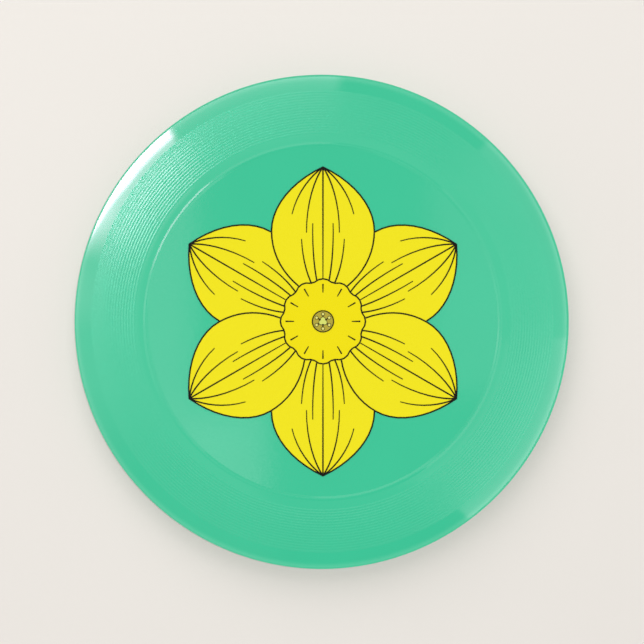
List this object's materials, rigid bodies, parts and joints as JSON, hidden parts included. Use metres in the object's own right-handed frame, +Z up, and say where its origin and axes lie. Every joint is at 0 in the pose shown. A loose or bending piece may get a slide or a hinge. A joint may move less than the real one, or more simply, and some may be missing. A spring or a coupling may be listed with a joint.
{
  "type": "flying disc",
  "caption": "Moulded plastic flying disc with a flat flight plate, concentric flight ribs, a turned-down rim to grip, and a printed daffodil on top.",
  "frame": {"origin": "centre of the plane that the rim rests on, on the disc's axis", "axes": "+Z up along the disc's axis, out of the printed side; +Y points from the centre along the top petal of the print; +X is to the print's right"},
  "size_m": [0.2414, 0.2414, 0.0274],
  "materials": {
    "shell": "gloss",
    "petal_ink": "satin",
    "corona_ink": "satin",
    "line_ink": "satin",
    "centre_ink": "satin",
    "stigma_ink": "satin",
    "anther_ink": "satin"
  },
  "bodies": {
    "root": {"disc_shell": "shell", "petal_ink_1": "petal_ink", "petal_ink_2": "petal_ink", "petal_ink_3": "petal_ink", "petal_ink_4": "petal_ink", "petal_ink_5": "petal_ink", "petal_ink_6": "petal_ink", "petal_lines_1": "line_ink", "petal_lines_2": "line_ink", "petal_lines_3": "line_ink", "petal_lines_4": "line_ink", "petal_lines_5": "line_ink", "petal_lines_6": "line_ink", "corona_ink": "corona_ink", "corona_lines": "line_ink", "fold_stroke_1": "line_ink", "fold_stroke_2": "line_ink", "fold_stroke_3": "line_ink", "fold_stroke_4": "line_ink", "fold_stroke_5": "line_ink", "fold_stroke_6": "line_ink", "fold_stroke_7": "line_ink", "fold_stroke_8": "line_ink", "fold_stroke_9": "line_ink", "fold_stroke_10": "line_ink", "fold_stroke_11": "line_ink", "fold_stroke_12": "line_ink", "centre_ink": "centre_ink", "centre_ring_line": "line_ink", "pistil_lines": "line_ink", "stigma_ink": "stigma_ink", "anther_ink_1": "anther_ink", "anther_ink_2": "anther_ink", "anther_ink_3": "anther_ink", "anther_ink_4": "anther_ink", "anther_ink_5": "anther_ink", "anther_ink_6": "anther_ink"}
  },
  "joints": []
}
